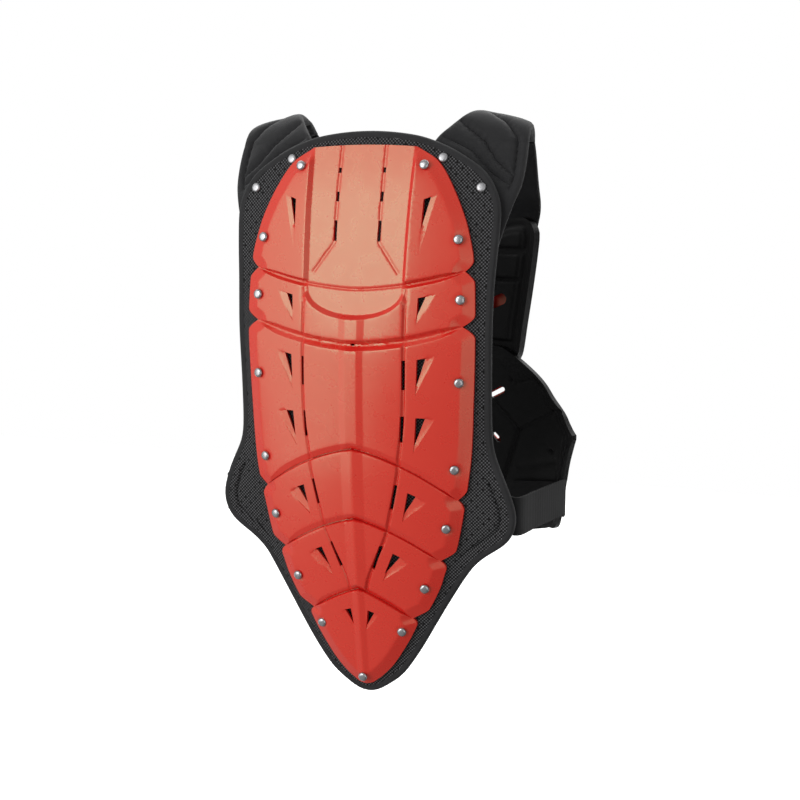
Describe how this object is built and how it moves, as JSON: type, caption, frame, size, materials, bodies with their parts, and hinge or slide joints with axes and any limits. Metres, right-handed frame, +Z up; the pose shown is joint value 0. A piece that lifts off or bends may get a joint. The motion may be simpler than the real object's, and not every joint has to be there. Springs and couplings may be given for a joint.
{
  "type": "roost deflector",
  "caption": "Body protector worn over the shoulders: sectioned hard back plate on a bound mesh pad, padded shoulders, foam-lined chest and belly plates and side belts.",
  "frame": {"origin": "on the midline between the two shoulder pads, at the height where they rest on the shoulders", "axes": "+Z up along the spine, +Y out of the wearer's back, +X towards the wearer's left"},
  "size_m": [0.393, 0.2789, 0.6224],
  "materials": {
    "moulded_plastic": "satin to glossy moulded red plastic",
    "mesh_pad": "black perforated mesh cloth over foam",
    "binding": "black woven binding tape",
    "rivet_steel": "bright domed steel",
    "snap_steel": "bright domed steel",
    "shoulder_cloth": "black quilted cloth over foam",
    "webbing": "black woven webbing",
    "liner_foam": "black moulded foam with a cloth face",
    "elastic": "black ribbed elastic band"
  },
  "bodies": {
    "root": {"back_plate": "moulded_plastic", "back_pad": "mesh_pad", "back_binding": "binding", "back_rivet_01": "rivet_steel", "back_rivet_02": "rivet_steel", "back_rivet_03": "rivet_steel", "back_rivet_04": "rivet_steel", "back_rivet_05": "rivet_steel", "back_rivet_06": "rivet_steel", "back_rivet_07": "rivet_steel", "back_rivet_08": "rivet_steel", "back_rivet_09": "rivet_steel", "back_rivet_10": "rivet_steel", "back_rivet_11": "rivet_steel", "back_rivet_12": "rivet_steel", "back_rivet_13": "rivet_steel", "back_rivet_14": "rivet_steel", "back_rivet_15": "rivet_steel", "back_rivet_16": "rivet_steel", "back_rivet_17": "rivet_steel", "strap_snap_1": "snap_steel", "strap_snap_2": "snap_steel", "strap_snap_3": "snap_steel", "strap_snap_4": "snap_steel", "shoulder_pad_left": "shoulder_cloth", "shoulder_pad_right": "shoulder_cloth", "front_strap_left": "webbing", "front_strap_right": "webbing", "chest_plate": "moulded_plastic", "chest_liner": "liner_foam", "belly_plate": "moulded_plastic", "belly_liner": "liner_foam", "front_rivet_01": "rivet_steel", "front_rivet_02": "rivet_steel", "front_rivet_03": "rivet_steel", "front_rivet_04": "rivet_steel", "front_rivet_05": "rivet_steel", "front_rivet_06": "rivet_steel", "front_rivet_07": "rivet_steel", "front_rivet_08": "rivet_steel", "front_rivet_09": "rivet_steel", "front_rivet_10": "rivet_steel", "front_rivet_11": "rivet_steel", "front_rivet_12": "rivet_steel", "waist_belt_left": "elastic", "waist_belt_right": "elastic"}
  },
  "joints": []
}
